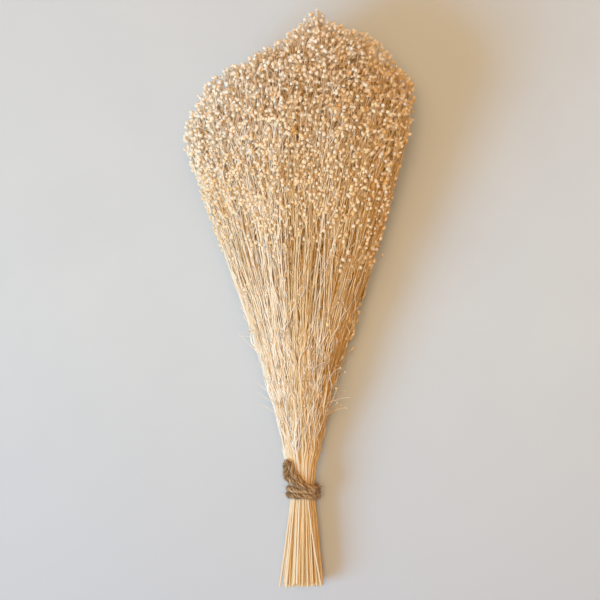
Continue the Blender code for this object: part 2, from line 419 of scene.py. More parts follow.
# Pods fill the head from its dome, where they crowd a little, down to PODS_FROM, and a few stray
# branches end below that.
TOP_CROWDING = 1.18
PODS_FROM = 0.296
STRAY_SHARE = 0.03
STRAY_DROP = 0.060
# A branch leaves its stalk this far before its end, and ends within BRANCH_ROOM of its cell.
BRANCH_RUN = (0.040, 0.230)
BRANCHES_FROM = (0.086, 0.160)
LAST_BRANCH = 0.006
BRANCH_ROOM = 0.165
BRANCH_STRAY = 0.16
BRANCH_POINTS = 7
BRANCH_GIRTHS = (0.00054, 0.00042)
ARRIVE_STEP = 0.01
ARRIVE_STRAY = 0.35
# A branch forks off at an angle and soon bends back to run on beside its stalk.
FORK_RUN = (0.008, 0.020)
FORK_LEAN = (0.22, 0.62)
FORK_TOWARDS_END = 0.6
LEAVE_TOWARDS_END = 0.25
# Tone runs from 0, golden, to 1, bleached. Each row is (along, shift). The large shifts at the head's
# top are painted light: the top is painted paler.
TONE_AND_LIGHT_SHIFTS = (
    (0.000, -0.32),
    (0.070, -0.30),
    (0.095, -0.26),
    (0.170, -0.26),
    (0.240, -0.32),
    (0.320, -0.28),
    (0.380, 0.08),
    (0.430, 0.66),
    (0.460, 0.84),
)
BRANCH_TONES = (-0.30, 0.26)
# Deep branches are painted darker and more golden, as painted shade. Depth counts from the bundle's
# side, or from the dome where that is nearer.
DEPTH_PAINTED_SHADE = 2.0
DOME_SKIN = 0.110
# Twigs leave the outer part of a branch.
TWIGS_PER_BRANCH = (3, 5)
TWIG_START = (0.50, 0.97)
# Twigs grow only on this last part of a long branch.
TWIG_REACH = 0.048
TWIG_RUN = (0.005, 0.019)
TWIG_LEAN = (0.25, 0.95)
TWIG_BENDS = (0.5, 0.35)
TWIG_POINTS = 3
# A twig that would end further back than this is left out.
TWIG_BACK = 0.004
TWIG_GIRTHS = (0.00050, 0.00040)
TWIG_TONES = (-0.15, 0.15)


def grow_twigs(growth, branch, chance, tone):
    """Short twigs along a branch, each with a pod at its end."""
    first = max(TWIG_START[0], 1 - TWIG_REACH / np.linalg.norm(branch[-1] - branch[0]))
    for _ in range(chance.randint(*TWIGS_PER_BRANCH)):
        place = chance.uniform(first, TWIG_START[1]) * (len(branch) - 1)
        i = min(int(place), len(branch) - 2)
        start = branch[i] + (place - i) * (branch[i + 1] - branch[i])
        onward = unit(branch[i + 1] - branch[i])
        aside = square_to(onward, random_way(chance))
        way = unit(onward + chance.uniform(*TWIG_LEAN) * aside)
        pod = chance.uniform(*POD_RADII)
        end = kept_in_head(start + chance.uniform(*TWIG_RUN) * way, pod)
        if end[1] < start[1] - TWIG_BACK:
            continue
        leave = onward + TWIG_BENDS[0] * way
        line = curved(start, leave, end, way + TWIG_BENDS[1] * onward, TWIG_POINTS)
        growth.add(line, TWIG_GIRTHS, tone + chance.uniform(*TWIG_TONES), pod=pod)


def grow_branches(growth, tuft, stalk, chance, tone):
    """Branches that leave the stalk's upper half and end all through the head."""
    tip = stalk[-1][1] - CUT_END_Y
    share = TOP_SHARE if tuft.up > 0 else TABLE_SHARE if tuft.up < TABLE_SIDE else 1.0
    branches = round(share * BRANCHES_BY_RING[tuft.ring])
    first_turn = chance.uniform(0, 2 * math.pi)
    for j in range(branches):
        turn = first_turn + j * GOLDEN_ANGLE
        room = BRANCH_ROOM * math.sqrt(chance.random())
        across = tuft.across + room * math.cos(turn)
        up = tuft.up + room * math.sin(turn)
        pod = chance.uniform(*POD_RADII)
        top = head_end(*inside_edge(across, up, DOME_PEAK), pod)
        foot = max(PODS_FROM, top - BRANCH_DEPTHS[tuft.ring])
        ends_at = top - (top - foot) * ((j + chance.random()) / branches) ** TOP_CROWDING
        if chance.random() < STRAY_SHARE:
            ends_at = PODS_FROM - STRAY_DROP * chance.random() ** 2
        across, up = inside_edge(across, up, ends_at)
        ends_at = min(ends_at, head_end(across, up, pod))
        end = in_bundle(across, up, ends_at)
        end[2] = max(end[2], POD_CLEARANCE * pod)
        starts_at = max(ends_at - chance.uniform(*BRANCH_RUN), chance.uniform(*BRANCHES_FROM))
        starts_at = min(starts_at, tip - LAST_BRANCH)
        i = point_past(stalk, starts_at)
        onward = unit(stalk[i] - stalk[i - 1])
        start = stalk[i - 1] + (CUT_END_Y + starts_at - stalk[i - 1][1]) / onward[1] * onward
        arrive = unit(in_bundle(across, up, ends_at) - in_bundle(across, up, ends_at - ARRIVE_STEP))
        aside = FORK_TOWARDS_END * square_to(onward, unit(end - start)) + random_way(chance)
        fork_run = chance.uniform(*FORK_RUN)
        fork = start + fork_run * unit(onward + chance.uniform(*FORK_LEAN) * unit(aside))
        leave = onward + LEAVE_TOWARDS_END * unit(end - fork) + BRANCH_STRAY * random_way(chance)
        arrive = arrive + ARRIVE_STRAY * random_way(chance)
        line = curved(fork, leave, end, arrive, BRANCH_POINTS)
        line = np.vstack((start, kinked(line, chance)))
        line[1:-1] = [kept_in_head(point, BRANCH_GIRTHS[0]) for point in line[1:-1]]
        depth = max(0, min(1 - math.hypot(across, up), (top - ends_at) / DOME_SKIN))
        # Painted shade: the deeper the branch lies, the darker and more golden its tone.
        own = tone + chance.uniform(*BRANCH_TONES) - DEPTH_PAINTED_SHADE * depth
        tones = [own + between(TONE_AND_LIGHT_SHIFTS, y - CUT_END_Y) for y in line[:, 1]]
        growth.add(line, BRANCH_GIRTHS, tones, pod=pod)
        grow_twigs(growth, line, chance, tones[-1])


# Shoots and wisps
#
# Bare side shoots cross over the stalks between the tie and the head, and short curly wisps stand
# off the outermost ones. They are side branches that stayed small, and they grow on the stalk.

# Most grow on the outer rings, where they show.
SHOOTS_PER_STALK = (0, 0, 5, 13)
SHOOT_START = (0.092, 0.245)
SHOOT_RUN = (0.012, 0.044)
SHOOT_LEAN = (0.20, 0.75)
SHOOT_OUTWARD = (0.20, 0.80)
SHOOT_UPWARD = 0.8
SHOOT_BEND = (-0.2, 0.7)
SHOOT_SLACK = 1.03
SHOOT_GIRTHS = (0.00054, 0.00032)
SHOOT_TONES = (-0.1, 0.3)
# A few wisps bear a small pod.
WISPS_PER_OUTER_STALK = 5
WISP_START = (0.120, 0.290)
WISP_RUN = (0.004, 0.024)
WISP_OUTWARD = (0.2, 0.8)
WISP_UPWARD = 0.6
WISP_STRAY = 0.4
WISP_BEND = (0.1, 1.6)
WISP_STEPS = 7
WISP_LEAST_HEIGHT = 0.0006
WISP_GIRTHS = (0.00036, 0.00022)
WISP_TONES = (0.0, 0.2)
WISP_POD_SHARE = 0.3
WISP_POD_RADII = (0.0006, 0.0010)


def grow_shoots(growth, tuft, stalk, chance, tone):
    """Bare shoots that lean off the stalk to one side and cross the stalks beside it."""
    outward = unit(np.array((tuft.across, 0, SHOOT_UPWARD * tuft.up)))
    for _ in range(SHOOTS_PER_STALK[tuft.ring]):
        i = point_past(stalk, chance.uniform(*SHOOT_START))
        onward = unit(stalk[i] - stalk[i - 1])
        sideways = chance.choice((-1, 1)) * np.cross(onward, outward)
        aside = unit(sideways + chance.uniform(*SHOOT_OUTWARD) * outward)
        way = unit(onward + chance.uniform(*SHOOT_LEAN) * aside)
        end = stalk[i] + chance.uniform(*SHOOT_RUN) * way
        end = kept_in_head(end, SHOOT_GIRTHS[0], SHOOT_SLACK)
        arrive = way + chance.uniform(*SHOOT_BEND) * onward
        line = curved(stalk[i], way, end, arrive, BRANCH_POINTS)
        line[1:] = kinked(line, chance)[1:]
        growth.add(line, SHOOT_GIRTHS, tone + chance.uniform(*SHOOT_TONES))


def grow_wisps(growth, tuft, stalk, chance, tone):
    """A few short curly side twigs on the outer stalks, between the tie and the head."""
    outward = unit(np.array((tuft.across, 0, WISP_UPWARD * tuft.up)))
    for _ in range(WISPS_PER_OUTER_STALK):
        i = point_past(stalk, chance.uniform(*WISP_START))
        way = unit(stalk[i] - stalk[i - 1])
        way = unit(way + chance.uniform(*WISP_OUTWARD) * outward + WISP_STRAY * random_way(chance))
        axis = random_way(chance)
        step = chance.uniform(*WISP_RUN) / WISP_STEPS
        bend = chance.uniform(*WISP_BEND) / WISP_STEPS
        line = [stalk[i]]
        for _ in range(WISP_STEPS):
            line.append(line[-1] + step * way)
            line[-1][2] = max(line[-1][2], WISP_LEAST_HEIGHT)
            way = unit(way + bend * np.cross(axis, way))
        pod = chance.uniform(*WISP_POD_RADII) if chance.random() < WISP_POD_SHARE else 0.0
        growth.add(np.array(line), WISP_GIRTHS, tone + chance.uniform(*WISP_TONES), pod=pod)


# The growth of one tuft
#
# Three stalks with all that grows on them. The inner stalks are painted darker and more golden than the
# pale outer ones, as painted shade inside the bundle; the left side is painted paler and the right
# darker, as painted light and shade; and each differs a little from its neighbours.
FIRST_SEED = 100
# The last points of a stalk bear twigs of their own.
TIP_POINTS = 4
# The mean tone of each ring, and how far chance takes a stalk from it. The inner rings are painted
# darker and more golden, as painted shade inside the bundle.
SHADED_TONES_BY_RING = (0.00, 0.08, 0.30, 0.86)
TONE_CHANCE = 0.26
# Painted light and shade: the stalks on the left are painted paler and those on the right darker and
# more golden, as the light falls from the left.
PAINTED_LIGHT_ACROSS = -0.60
# At the cut ends the stalks are more alike, with this much of their own difference from the mean.
CUT_TONE = 0.62
CUT_TONE_OWN = 0.45
CUT_TONE_CHANCE = 0.10
CUT_TONE_TO = 0.110
OWN_TONE_FROM = 0.180


def grow(number, tuft):
    """The whole growth of one tuft."""
    chance = random.Random(FIRST_SEED + number)
    growth = Growth()
    for k in range(STALKS_PER_TUFT):
        # The tone across the bundle is painted light on the left and painted shade on the right.
        tone = chance.gauss(SHADED_TONES_BY_RING[tuft.ring], TONE_CHANCE) + PAINTED_LIGHT_ACROSS * tuft.across
        if (number, k) == CROSSING_STALK[:2]:
            tone = CROSSING_TONE
        stalk = stalk_course(number, tuft, k, chance)
        size = chance.uniform(*STALK_SIZES)
        girths = [size * between(STALK_GIRTHS, y - CUT_END_Y) for y in stalk[:, 1]]
        cut_tone = CUT_TONE + CUT_TONE_OWN * (tone - CUT_TONE) + chance.gauss(0, CUT_TONE_CHANCE)
        own = ((0.000, cut_tone), (CUT_TONE_TO, cut_tone), (OWN_TONE_FROM, tone), (BUNDLE_LENGTH, tone))
        along = stalk[:, 1] - CUT_END_Y
        tones = [between(own, y) + between(TONE_AND_LIGHT_SHIFTS, y) for y in along]
        growth.add(stalk, girths, tones, thick=True, pod=chance.uniform(*POD_RADII))
        grow_twigs(growth, stalk[-TIP_POINTS:], chance, tones[-1])
        grow_branches(growth, tuft, stalk, chance, tone)
        grow_shoots(growth, tuft, stalk, chance, tone)
        if tuft.ring == len(RING_COUNTS) - 1:
            grow_wisps(growth, tuft, stalk, chance, tone)
    return growth.mesh(f"strands_{number:02d}")


# One seed pod
#
# A dry bud 2 to 3.6 mm across, pointed where it sits on its twig, widest low down, and narrowing to a
# crown of three small scales round a hollow. It has 24 triangles, because thousands are needed.
POD_SIDES = 6
POD_FOOT_HEIGHT = -0.10
# Each ring is (radius, height, how far every second corner stands back), in pod radii.
POD_RINGS = (
    (1.00, 1.00, 0.00),
    (0.64, 2.44, 0.16),
)
POD_HOLLOW = 2.20


def new_object(name, data):
    """An object with this data, in the scene."""
    made = bpy.data.objects.new(name, data)
    bpy.context.scene.collection.objects.link(made)
    return made


def make_pod():
    """The pod, foot at the origin and crown up, with its rise from 0 to 1."""
    shape = bmesh.new()
    rings = []
    for radius, height, step in POD_RINGS:
        ring = []
        for i in range(POD_SIDES):
            turn = 2 * math.pi * i / POD_SIDES
            size = radius - step * (i % 2)
            ring.append(shape.verts.new((size * math.cos(turn), size * math.sin(turn), height)))
        rings.append(ring)
    for low, high in zip(rings, rings[1:]):
        for i in range(POD_SIDES):
            j = (i + 1) % POD_SIDES
            shape.faces.new((low[i], low[j], high[j], high[i]))
    foot = shape.verts.new((0, 0, POD_FOOT_HEIGHT))
    heart = shape.verts.new((0, 0, POD_HOLLOW))
    for i in range(POD_SIDES):
        j = (i + 1) % POD_SIDES
        shape.faces.new((rings[0][j], rings[0][i], foot))
        shape.faces.new((rings[-1][i], rings[-1][j], heart))
    bmesh.ops.recalc_face_normals(shape, faces=shape.faces)
    made = bpy.data.meshes.new("seed_pod")
    shape.to_mesh(made)
    shape.free()
    made.shade_smooth()
    rises = [corner.co.z / POD_RINGS[-1][1] for corner in made.vertices]
    store(made, "rise", rises)
    return new_object("seed_pod", made)


# Finish of the stalks: dried grass, straw coloured, with a thin waxy skin that still shines a
# little along the stalk. Fine ribs run along it, and the colour changes from stalk to stalk and
# slowly along each one. The cut faces show paler pith.
STRAW_DARK = "#C28634"
STRAW = "#DEB67C"
STRAW_PALE = "#E9D1B1"
STRAW_BLEACHED = "#F8ECDA"
PITH = "#E8D5B7"
# Streaks 1.6 mm wide and 42 mm long, so that each stalk differs from its neighbour.
STREAKS_PER_METRE = (640, 24, 640)
# Ribs are drawn 0.4 mm apart, coarser than the real 0.15 mm, or they would not show.
RIBS_PER_METRE = (2500, 60, 2500)
RIB_DEPTH = 0.0003
# A cut face is the only one that looks straight down the bundle: this is the least cosine.
DOWN_THE_BUNDLE = (0, -1, 0)
CUT_FACING = 0.93


def linear(colour):
    """An sRGB hex colour as a linear one."""
    parts = [int(colour[i : i + 2], 16) / 255 for i in (1, 3, 5)]
    return (*((c / 12.92 if c <= 0.04045 else ((c + 0.055) / 1.055) ** 2.4) for c in parts), 1.0)


def feed(node, feeds):
    """Feeds a node's inputs, each with a value, a socket, or a node for its first output."""
    for name, value in feeds.items():
        if isinstance(value, bpy.types.Node):
            value = value.outputs[0]
        if isinstance(value, bpy.types.NodeSocket):
            node.id_data.links.new(value, node.inputs[name])
        else:
            node.inputs[name].default_value = value


def add_node(tree, kind, feeds=None, stops=None, **settings):
    """A node of the tree, with these feeds and settings, and a colour ramp's stops."""
    node = tree.nodes.new(kind)
    for name, value in settings.items():
        setattr(node, name, value)
    feed(node, feeds or {})
    for i, (place, colour) in enumerate(stops or ()):
        ramp = node.color_ramp.elements
        stop = ramp[i] if i < 2 else ramp.new(place)
        stop.position = place
        stop.color = linear(colour)
    return node


def new_finish(name, values):
    """A material with these values on its Principled shader, that shader, and a way to add nodes."""
    made = bpy.data.materials.new(name)
    made.use_nodes = True
    shader = made.node_tree.nodes["Principled BSDF"]
    feed(shader, values)
    return made, shader, partial(add_node, made.node_tree)


straw, shader, add = new_finish(
    "dried_grass_stalk", {"Roughness": 0.58, "IOR": 1.48, "Specular IOR Level": 0.3}
)
place = add("ShaderNodeTexCoord")
# The tone carries painted light and shade as well as each stalk's own colour: paler on the left and at
# the head's top, darker on the right and deep in the bundle.
tone = add("ShaderNodeAttribute", attribute_name="tone")
long_way = add("ShaderNodeMapping", {"Vector": place.outputs["Object"], "Scale": STREAKS_PER_METRE})
streaks = add(
    "ShaderNodeTexNoise", {"Vector": long_way, "Scale": 1.0, "Detail": 3.0, "Roughness": 0.6}
)
blend = add("ShaderNodeMath", {0: tone.outputs["Fac"], 1: streaks.outputs["Fac"]}, operation="ADD")
half = add("ShaderNodeMath", {0: blend, 1: 0.5}, operation="MULTIPLY")
skin = add(
    "ShaderNodeValToRGB",
    {"Fac": half},
    stops=((0.18, STRAW_DARK), (1.00, STRAW_BLEACHED), (0.42, STRAW), (0.74, STRAW_PALE)),
)
looks = add("ShaderNodeNewGeometry")
facing = add(
    "ShaderNodeVectorMath",
    {0: looks.outputs["True Normal"], 1: DOWN_THE_BUNDLE},
    operation="DOT_PRODUCT",
)
cut = add("ShaderNodeMath", {0: facing.outputs["Value"], 1: CUT_FACING}, operation="GREATER_THAN")
pale = add("ShaderNodeMix", {"Factor": cut, "A": skin, "B": linear(PITH)}, data_type="RGBA")
fine_way = add("ShaderNodeMapping", {"Vector": place.outputs["Object"], "Scale": RIBS_PER_METRE})
ribs = add("ShaderNodeTexNoise", {"Vector": fine_way, "Scale": 1.0, "Detail": 2.0})
relief = add(
    "ShaderNodeBump", {"Height": ribs.outputs["Fac"], "Strength": 0.35, "Distance": RIB_DEPTH}
)
feed(shader, {"Base Color": pale.outputs["Result"], "Normal": relief})


# Finish of the pods: papery dry scales, dull, cream at the crown and golden at the foot, where the
# scales overlap. Some pods have ripened darker than others; towards the head's right they are painted
# darker, as painted shade, and towards its upper left paler, almost white, as painted light.
POD_FOOT = "#ECB058"
POD_BODY = "#EEC688"
POD_CROWN = "#EAD4B6"
POD_RIPE_AND_SHADE = "#DEA650"
POD_PAINTED_LIGHT = "#FAECD6"
# Pods are painted darker towards the right edge of the head, as painted shade: between these two values
# of x, chance is shifted by these amounts. Those that come out above RIPE_AT take the ripe colour in
# part.
PAINTED_SHADE_FROM_X = -0.110
PAINTED_SHADE_TO_X = 0.100
PAINTED_SHADE_SHIFTS = (-0.20, 0.22)
RIPE_AT = 0.55
RIPE_FULL = 1.1
RIPE_SHARE = 0.8
# Towards the head's upper left they are painted paler, almost white, as painted light, from this far
# out that way. Their foot stays golden.
PAINTED_LIGHT_WAY = (-0.50, 0.87, 0.0)
PAINTED_LIGHT_FROM = 0.110
PAINTED_LIGHT_TO = 0.170
PAINTED_LIGHT_SHARE = 0.90
# Mottling with spots of 0.7 mm.
MOTTLES_PER_METRE = 1400.0
MOTTLE_SHADES = (0.88, 1.10)
MOTTLE_DEPTH = 0.0004

papery, shader, add = new_finish(
    "papery_seed_pod",
    {"Roughness": 0.68, "IOR": 1.45, "Specular IOR Level": 0.3, "Sheen Weight": 0.2},
)
rise = add("ShaderNodeAttribute", attribute_name="rise")
ripeness = add("ShaderNodeAttribute", attribute_name="ripeness")
body = add(
    "ShaderNodeValToRGB",
    {"Fac": rise.outputs["Fac"]},
    stops=((0.05, POD_FOOT), (0.95, POD_CROWN), (0.45, POD_BODY)),
)
place = add("ShaderNodeTexCoord")
axes = add("ShaderNodeSeparateXYZ", {"Vector": place.outputs["Object"]})
# Painted shade: pods towards the right are pushed towards the ripe, darker colour.
across = add(
    "ShaderNodeMapRange",
    {
        "Value": axes.outputs["X"],
        "From Min": PAINTED_SHADE_FROM_X,
        "From Max": PAINTED_SHADE_TO_X,
        "To Min": PAINTED_SHADE_SHIFTS[0],
        "To Max": PAINTED_SHADE_SHIFTS[1],
    },
)
ripeness = add("ShaderNodeMath", {0: ripeness.outputs["Fac"], 1: across}, operation="ADD")
# Painted light: pods towards the head's upper left are painted paler.
upper_left = add(
    "ShaderNodeVectorMath", {0: place.outputs["Object"], 1: PAINTED_LIGHT_WAY}, operation="DOT_PRODUCT"
)
painted_light = add(
    "ShaderNodeMapRange",
    {
        "Value": upper_left.outputs["Value"],
        "From Min": PAINTED_LIGHT_FROM,
        "From Max": PAINTED_LIGHT_TO,
        "To Max": PAINTED_LIGHT_SHARE,
    },
)
ripeness = add("ShaderNodeMath", {0: ripeness, 1: painted_light}, operation="SUBTRACT")
ripe = add(
    "ShaderNodeMapRange",
    {"Value": ripeness, "From Min": RIPE_AT, "From Max": RIPE_FULL, "To Max": RIPE_SHARE},
)
# The ripe colour is partly each pod's own ripeness and partly painted shade on the right.
ripe_and_shaded = add("ShaderNodeMix", {"Factor": ripe, "A": body, "B": linear(POD_RIPE_AND_SHADE)}, data_type="RGBA")
# The painted light falls most on the crown and least on the foot.
painted_light_share = add("ShaderNodeMath", {0: painted_light, 1: rise.outputs["Fac"]}, operation="MULTIPLY")
painted_lit = add(
    "ShaderNodeMix",
    {"Factor": painted_light_share, "A": ripe_and_shaded.outputs["Result"], "B": linear(POD_PAINTED_LIGHT)},
    data_type="RGBA",
)
mottle = add(
    "ShaderNodeTexNoise",
    {"Vector": place.outputs["Object"], "Scale": MOTTLES_PER_METRE, "Detail": 2.0},
)
shade = add(
    "ShaderNodeMapRange",
    {
        "Value": mottle.outputs["Fac"],
        "From Min": 0.3,
        "From Max": 0.7,
        "To Min": MOTTLE_SHADES[0],
        "To Max": MOTTLE_SHADES[1],
    },
)
worn = add("ShaderNodeVectorMath", {0: painted_lit.outputs["Result"], 3: shade}, operation="SCALE")
relief = add(
    "ShaderNodeBump", {"Height": mottle.outputs["Fac"], "Strength": 0.5, "Distance": MOTTLE_DEPTH}
)
feed(shader, {"Base Color": worn, "Normal": relief})


# The tufts themselves
#
# A node tree turns the bare lines into round stalks and branches and stands a pod on the end of
# each, turned and tilted by chance. The result is a plain mesh for each tuft, and it takes the
# place of that tuft's CAD solid.
STALK_SIDES = 6
BRANCHLET_SIDES = 3
POD_TILT = 0.42
LEAST_POD = 0.0001


def new_tree(name, wanted):
    """A geometry node tree with these inputs, what it is given, its output, and a way to add nodes."""
    made = bpy.data.node_groups.new(name, "GeometryNodeTree")
    made.interface.new_socket("Geometry", in_out="INPUT", socket_type="NodeSocketGeometry")
    for label, kind in wanted.items():
        made.interface.new_socket(label, in_out="INPUT", socket_type=f"NodeSocket{kind}")
    made.interface.new_socket("Geometry", in_out="OUTPUT", socket_type="NodeSocketGeometry")
    given = made.nodes.new("NodeGroupInput").outputs
    return made, given, made.nodes.new("NodeGroupOutput"), partial(add_node, made)


strand_tree, given, output, add = new_tree(
    "strands_with_pods",
    {
        "Stalk Sides": "Int",
        "Branchlet Sides": "Int",
        "Pod": "Object",
        "Pod Tilt": "Float",
        "Seed": "Int",
        "Strand Finish": "Material",
        "Pod Finish": "Material",
    },
)
girth = add("GeometryNodeInputNamedAttribute", {"Name": "girth"})
thick = add("GeometryNodeInputNamedAttribute", {"Name": "thick"})
sorted_out = add("GeometryNodeSeparateGeometry", {"Geometry": given["Geometry"], "Selection": thick})
strands = add("GeometryNodeJoinGeometry")
for lines, sides in zip(sorted_out.outputs, ("Stalk Sides", "Branchlet Sides")):
    curves = add("GeometryNodeMeshToCurve", {"Mesh": lines})
    profile = add("GeometryNodeCurvePrimitiveCircle", {"Resolution": given[sides], "Radius": 1.0})
    tubes = add(
        "GeometryNodeCurveToMesh",
        {"Curve": curves, "Profile Curve": profile, "Scale": girth, "Fill Caps": True},
    )
    feed(strands, {0: tubes})
strands = add("GeometryNodeSetMaterial", {"Geometry": strands, "Material": given["Strand Finish"]})
size = add("GeometryNodeInputNamedAttribute", {"Name": "pod"})
heading = add("GeometryNodeInputNamedAttribute", {"Name": "heading"}, data_type="FLOAT_VECTOR")
has_pod = add("FunctionNodeCompare", {0: size, 1: LEAST_POD})
opposite = add("ShaderNodeVectorMath", {0: (-1, -1, -1), 3: given["Pod Tilt"]}, operation="SCALE")
straight = add("ShaderNodeVectorMath", {0: (1, 1, 1), 3: given["Pod Tilt"]}, operation="SCALE")
lean = add(
    "FunctionNodeRandomValue",
    {"Min": opposite, "Max": straight, "Seed": given["Seed"]},
    data_type="FLOAT_VECTOR",
)
tilted = add("ShaderNodeVectorMath", {0: heading, 1: lean}, operation="ADD")
upright = add("FunctionNodeAlignRotationToVector", {"Vector": tilted}, axis="Z")
turn = add(
    "FunctionNodeRandomValue", {2: 0.0, 3: 2 * math.pi, "Seed": given["Seed"]}, data_type="FLOAT"
)
twist = add("FunctionNodeAxisAngleToRotation", {"Axis": (0, 0, 1), "Angle": turn.outputs[1]})
turned = add(
    "FunctionNodeRotateRotation", {"Rotation": upright, "Rotate By": twist}, rotation_space="LOCAL"
)
shape = add("GeometryNodeObjectInfo", {"Object": given["Pod"]})
pods = add(
    "GeometryNodeInstanceOnPoints",
    {
        "Points": given["Geometry"],
        "Selection": has_pod,
        "Instance": shape.outputs["Geometry"],
        "Rotation": turned,
        "Scale": size,
    },
)
ripeness = add("FunctionNodeRandomValue", {2: 0.0, 3: 1.0, "Seed": given["Seed"]}, data_type="FLOAT")
pods = add(
    "GeometryNodeStoreNamedAttribute",
    {"Geometry": pods, "Name": "ripeness", "Value": ripeness.outputs[1]},
    domain="INSTANCE",
)
pods = add("GeometryNodeRealizeInstances", {"Geometry": pods})
pods = add("GeometryNodeSetMaterial", {"Geometry": pods, "Material": given["Pod Finish"]})
together = add("GeometryNodeJoinGeometry")
for part in (strands, pods):
    feed(together, {0: part})
feed(output, {0: together})


def made_solid(name, source, tree, values):
    """The source put through a node tree with these inputs, as an object with a plain mesh."""
    bearer = new_object(name, source)
    nodes = bearer.modifiers.new("made", "NODES")
    nodes.node_group = tree
    for socket in tree.interface.items_tree:
        if socket.in_out == "INPUT" and socket.name in values:
            nodes[socket.identifier] = values[socket.name]
    graph = bpy.context.evaluated_depsgraph_get()
    made = bpy.data.meshes.new_from_object(bearer.evaluated_get(graph))
    bpy.data.objects.remove(bearer)
    # What reaches the table is pressed flat on it.
    corners = np.empty(3 * len(made.vertices), np.float32)
    made.vertices.foreach_get("co", corners)
    corners[2::3] = np.maximum(corners[2::3], 0)
    made.vertices.foreach_set("co", corners)
    made.shade_smooth()
    return new_object(name, made)


pod = make_pod()
for number, tuft in enumerate(tufts, 1):
    dressed = made_solid(
        f"broom_grass_{number:02d}",
        grow(number, tuft),
        strand_tree,
        {
            "Stalk Sides": STALK_SIDES,
            "Branchlet Sides": BRANCHLET_SIDES,
            "Pod": pod,
            "Pod Tilt": POD_TILT,
            "Seed": number,
            "Strand Finish": straw,
            "Pod Finish": papery,
        },
    )
    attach(dressed, "root")
    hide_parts(f"grass_tuft_{number:02d}")
bpy.data.objects.remove(pod)


# The twine
#
# Three plies of brown jute, twisted together to a cord of about 4.5 mm. It crosses the front three
# times, with one end tucked up as a small loop on the left. Its route is the CAD's, with the loop
# closed up and the turns pulled closer on the right, by less than 4 mm.
TWINE_RADIUS = 0.00215
TWINE_CLEARANCE = 0.0003
# The tucked loop as (degrees round the stalks, distance along, lift off them).
TWINE_LOOP = (
    (84, 0.0800, -0.0014),
    (90, 0.0809, -0.0012),
    (97, 0.0820, -0.0008),
    (105, 0.0836, -0.0004),
    (114, 0.0855, 0.0000),
    (120, 0.0872, 0.0000),
    (125, 0.0891, 0.0000),
    (129, 0.0919, 0.0000),
    (133, 0.0945, 0.0000),
    (138, 0.0966, 0.0001),
    (146, 0.0975, 0.0003),
    (153, 0.0966, 0.0004),
    (158, 0.0945, 0.0004),
    (161, 0.0915, 0.0003),
    (165, 0.0888, 0.0003),
    (171, 0.0862, 0.0005),
    (173, 0.0848, 0.0007),
    (165, 0.0842, 0.0006),
    (151, 0.0840, 0.0005),
    (138, 0.0835, 0.0005),
    (125, 0.0821, 0.0007),
    (110, 0.0805, 0.0010),
)
# Pulled tight, the turns close up at the right, and the third rides up on the second one there.
# Each row is (degrees round the stalks, shift along, lift).
TWINE_RIDE = (
    (-780, -0.0003, 0.0000),
    (-720, -0.0003, 0.0000),
    (-540, 0.0009, 0.0000),
    (-450, 0.0000, 0.0000),
    (-390, -0.0014, 0.0003),
    (-345, -0.0016, 0.0006),
    (-270, 0.0000, 0.0002),
    (-180, 0.0013, 0.0000),
    (-90, 0.0000, 0.0000),
    (-40, -0.0014, 0.0003),
    (0, -0.0034, 0.0008),
    (42, -0.0032, 0.0017),
    (72, -0.0019, 0.0015),
    (95, -0.0005, 0.0010),
    (110, 0.0009, 0.0010),
)
TWINE_FIRST_ALONG = 0.0796
TWINE_PITCH = 0.0046
TWINE_STEP = 15
TWINE_END = -780
CURVE_STEPS = 12
PLIES = 3
PLY_RADIUS = 0.00125
PLY_OFFSET = 0.00120
TWIST_LENGTH = 0.0200
PLY_SIDES = 10
TWINE_SPACING = 0.0009
# Each ply swells and thins by chance, every 4 mm or so.
LUMPS_PER_METRE = 260.0
UNEVENNESS = 0.5
# The fibres in a ply turn back this many times for each turn of the plies.
FIBRE_TURNS = 1.6


def round_the_stalks(degrees, along, lift):
    """The twine's centre at this place on the route."""
    turn = math.radians(degrees)
    off = TWINE_RADIUS + TWINE_CLEARANCE + lift
    middle = in_bundle(0, 0, along)
    across = (between(SECTIONS, along, 1) + off) * math.cos(turn)
    up = (between(SECTIONS, along, 2) + off) * math.sin(turn)
    return middle + np.array((across, 0, up))


def twine_route():
    """The loop's points, then the turns: level across the top, a pitch lower after each underside."""
    places = list(TWINE_LOOP)
    for degrees in range(TWINE_LOOP[-1][0] - TWINE_STEP, TWINE_END - 1, -TWINE_STEP):
        whole, part_turn = divmod(-degrees / 360, 1)
        sunk = min(1.0, 2 * part_turn)
        along = TWINE_FIRST_ALONG - TWINE_PITCH * (whole + sunk * sunk * (3 - 2 * sunk))
        along += between(TWINE_RIDE, degrees)
        places.append((degrees, along, between(TWINE_RIDE, degrees, 2)))
    return [round_the_stalks(*place) for place in places]


def smooth_line(points, spacing):
    """Evenly spaced points on a smooth curve through the points."""
    fine = []
    padded = [2 * points[0] - points[1], *points, 2 * points[-1] - points[-2]]
    for a, b, c, d in zip(padded, padded[1:], padded[2:], padded[3:]):
        for t in np.linspace(0, 1, CURVE_STEPS, endpoint=False):
            straight = b + (c - a) * t / 2
            bend = (2 * a - 5 * b + 4 * c - d) * t**2 / 2 + (3 * b - 3 * c + d - a) * t**3 / 2
            fine.append(straight + bend)
    fine = np.array([*fine, points[-1]])
    done = np.append(0, np.cumsum(np.linalg.norm(np.diff(fine, axis=0), axis=1)))
    wanted = np.linspace(0, done[-1], round(done[-1] / spacing) + 1)
    return np.column_stack([np.interp(wanted, done, column) for column in fine.T])


# Finish of the twine: jute, a coarse bast fibre, spun and plied, matt and brown. The colour runs
# in dark and pale streaks along the fibres, which lie slantwise round each ply.
JUTE_DARK = "#3A2007"
JUTE = "#7C4F1E"
JUTE_PALE = "#DFB078"
